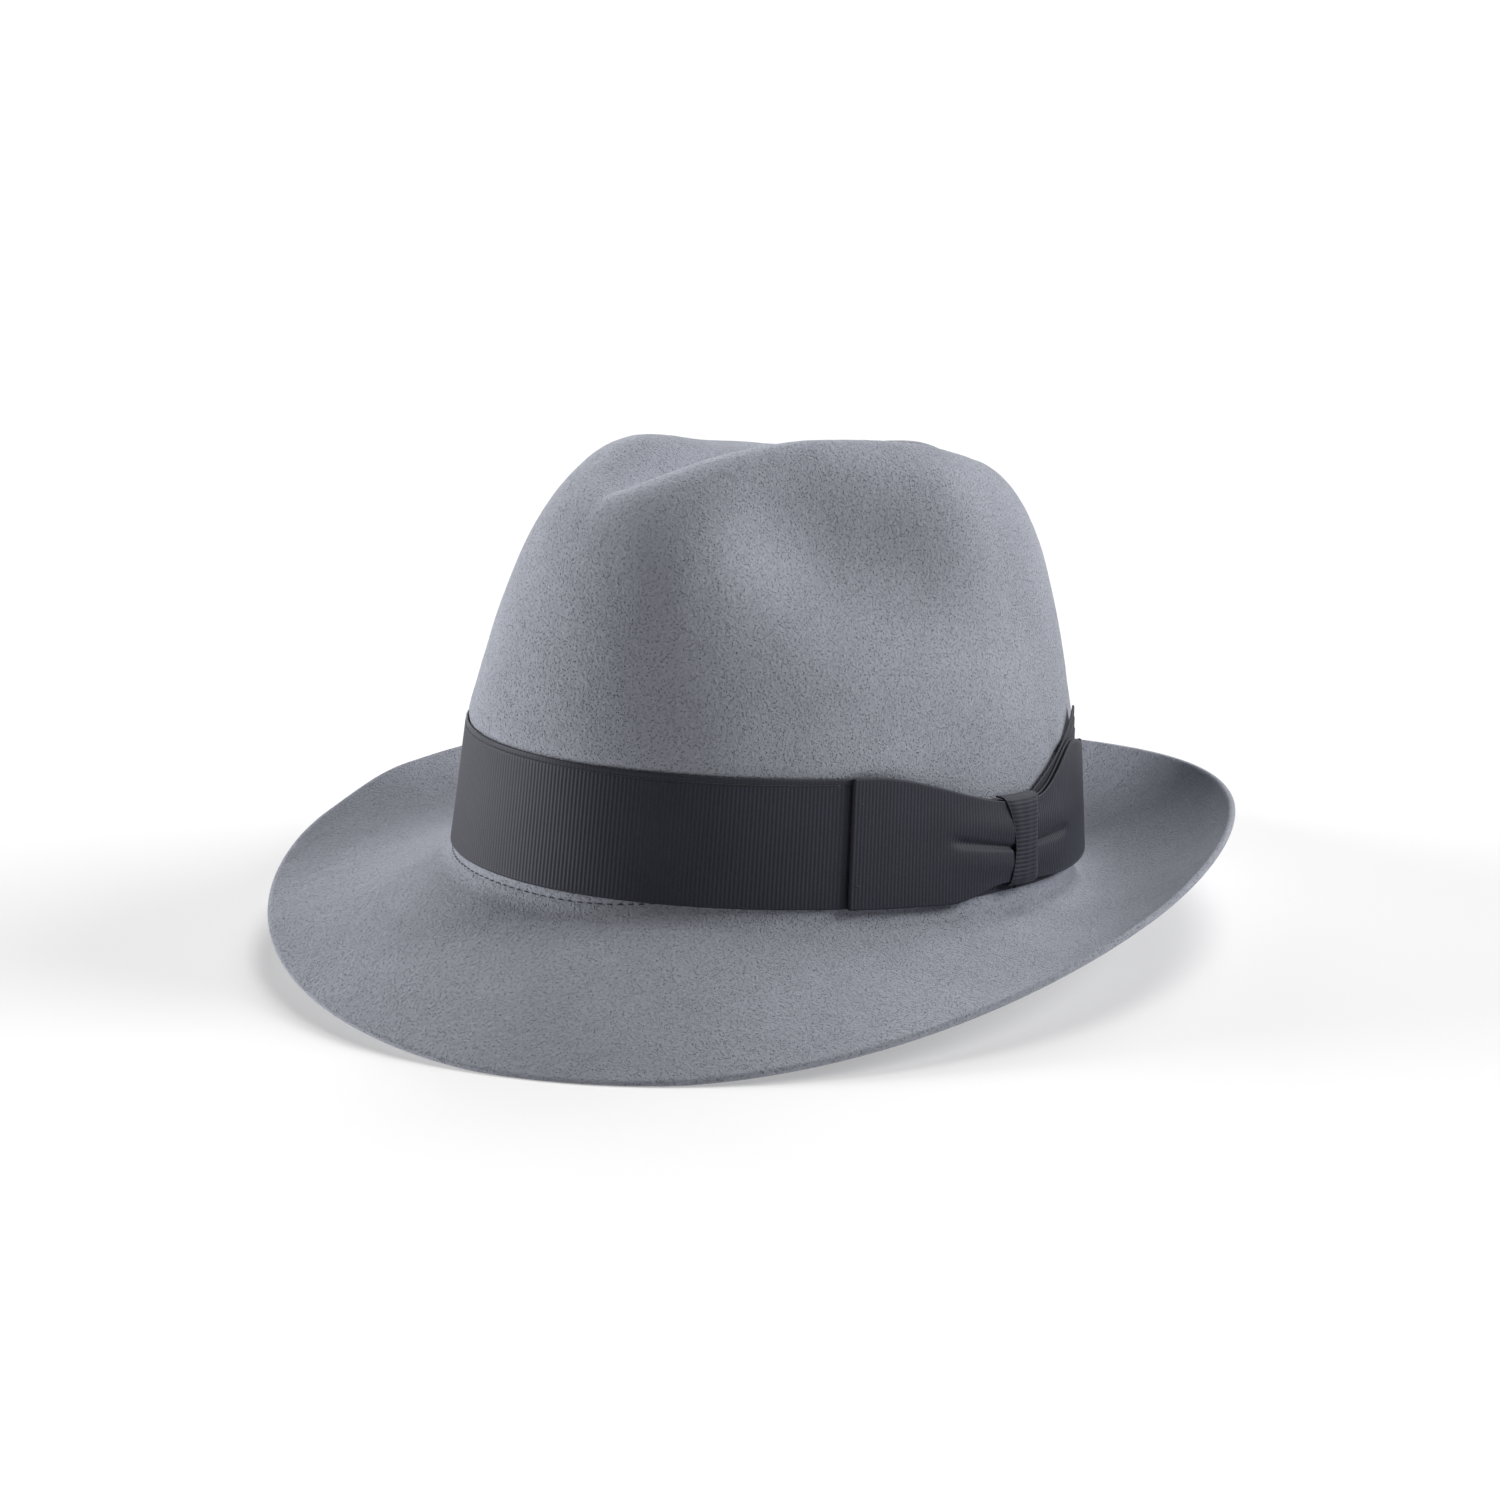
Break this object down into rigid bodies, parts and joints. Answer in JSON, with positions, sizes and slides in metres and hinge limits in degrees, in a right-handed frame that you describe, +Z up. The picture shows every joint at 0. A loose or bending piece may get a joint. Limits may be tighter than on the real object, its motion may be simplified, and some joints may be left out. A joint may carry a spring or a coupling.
{
  "type": "fedora hat",
  "caption": "Felt fedora with a creased and pinched crown, a snap brim turned down in front, a ribbed ribbon band and a flat side bow.",
  "frame": {"origin": "middle of the hat's outline on the table it lies on", "axes": "+Z up from the table, the hat's front faces -Y, its wearer's left, with the bow, is +X"},
  "size_m": [0.277, 0.3174, 0.1548],
  "materials": {
    "felt": "brushed grey fur felt, raw cut edge",
    "grosgrain": "ribbed charcoal grosgrain ribbon",
    "thread": "dark sewing thread",
    "satin": "grey satin lining",
    "leather": "dark brown sweatband leather",
    "tape": "woven cotton tape",
    "reed": "round plastic reed"
  },
  "bodies": {
    "root": {"felt_body": "felt", "ribbon_band": "grosgrain", "ribbon_draw_thread": "thread", "bow_front_loop": "grosgrain", "bow_rear_loop": "grosgrain", "bow_tail": "grosgrain", "bow_knot": "grosgrain", "bow_tack_upper": "thread", "bow_tack_lower": "thread", "lining_side_band": "satin", "lining_tip": "satin", "sweatband": "leather", "sweatband_reed": "reed", "reed_tape": "tape", "sweatband_seam_tape": "tape", "sweatband_stitching": "thread"}
  },
  "joints": []
}
